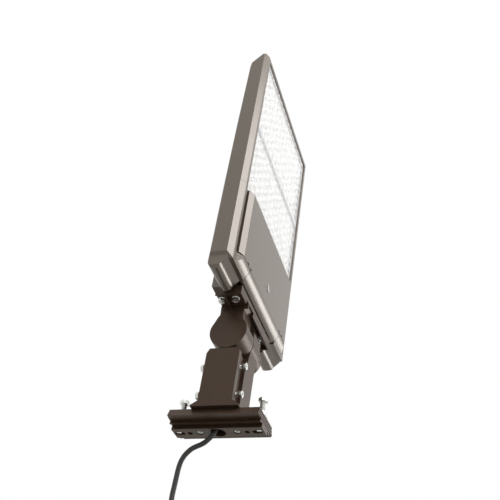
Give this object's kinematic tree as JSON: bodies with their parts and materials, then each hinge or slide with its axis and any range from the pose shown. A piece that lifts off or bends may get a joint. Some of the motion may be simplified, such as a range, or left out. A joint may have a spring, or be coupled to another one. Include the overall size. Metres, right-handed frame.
{
  "type": "shoebox area light",
  "caption": "Flat rectangular outdoor area light with moulded optics, a hinged driver bay door and an adjustable knuckle arm on a drilled pole plate with a supply lead.",
  "frame": {"origin": "centre of the pole plate's pole face, midway between the two pole holes", "axes": "+Z from the pole face along the arm to the top of the head; the lens side faces -Y; +X across the head, towards the pivot bolt's head"},
  "size_m": [0.361, 0.17, 1.2052],
  "materials": {
    "black_plastic": "matte",
    "board": "white solder mask",
    "bronze": "bronze powder coat on die-cast aluminium",
    "cable_jacket": "matte",
    "core": "insulated wire",
    "dark_bronze": "dark bronze powder coat on die-cast aluminium",
    "driver_case": "painted",
    "fibre": "fibre composite",
    "led": "phosphor",
    "lens": "clear moulded",
    "pale_plastic": "matte",
    "rubber": "matte",
    "steel": "bright zinc",
    "tray": "zinc plated"
  },
  "bodies": {
    "mount": {"arm_sleeve": "dark_bronze", "front_set_bolts": "steel", "back_set_bolts": "steel", "spigot_base": "dark_bronze", "pole_plate": "dark_bronze", "plate_screws": "steel", "pole_bolts": "steel", "pole_bolt_washers": "steel", "pole_bolt_nuts": "steel", "wire_grommet": "rubber", "pivot_washer": "steel", "supply_cable": "cable_jacket", "cable_cores": "core"},
    "head": {"housing": "bronze", "lens_frame": "bronze", "lens_lower": "lens", "lens_upper": "lens", "lens_gasket": "rubber", "led_board_lower": "board", "led_board_upper": "board", "leds_lower": "led", "leds_upper": "led", "frame_screws": "steel", "gear_tray": "tray", "led_driver": "driver_case", "surge_protector": "pale_plastic", "terminal_block": "pale_plastic", "tray_screws": "steel", "cable_gland": "black_plastic", "hinge_pins": "steel", "door_gasket": "rubber", "arm_gasket": "rubber", "arm_bracket": "dark_bronze", "arm_bolts": "steel", "friction_washer": "fibre", "pivot_bolt": "steel"},
    "door": {"door": "bronze"},
    "latch": {"door_latch": "steel"}
  },
  "joints": [
    {"name": "tilt", "type": "hinge", "parent": "mount", "child": "head", "pos_m": [0, -0.0045, 0.1832], "axis": [-1, 0, 0], "range_deg": [-30, 90]},
    {"name": "door_hinge", "type": "hinge", "parent": "head", "child": "door", "pos_m": [0, -0.041, 0.2682], "axis": [1, 0, 0], "range_deg": [0, 100]},
    {"name": "latch_turn", "type": "hinge", "parent": "door", "child": "latch", "pos_m": [0.002, -0.05, 0.3142], "axis": [0, 1, 0], "range_deg": [0, 90]}
  ]
}
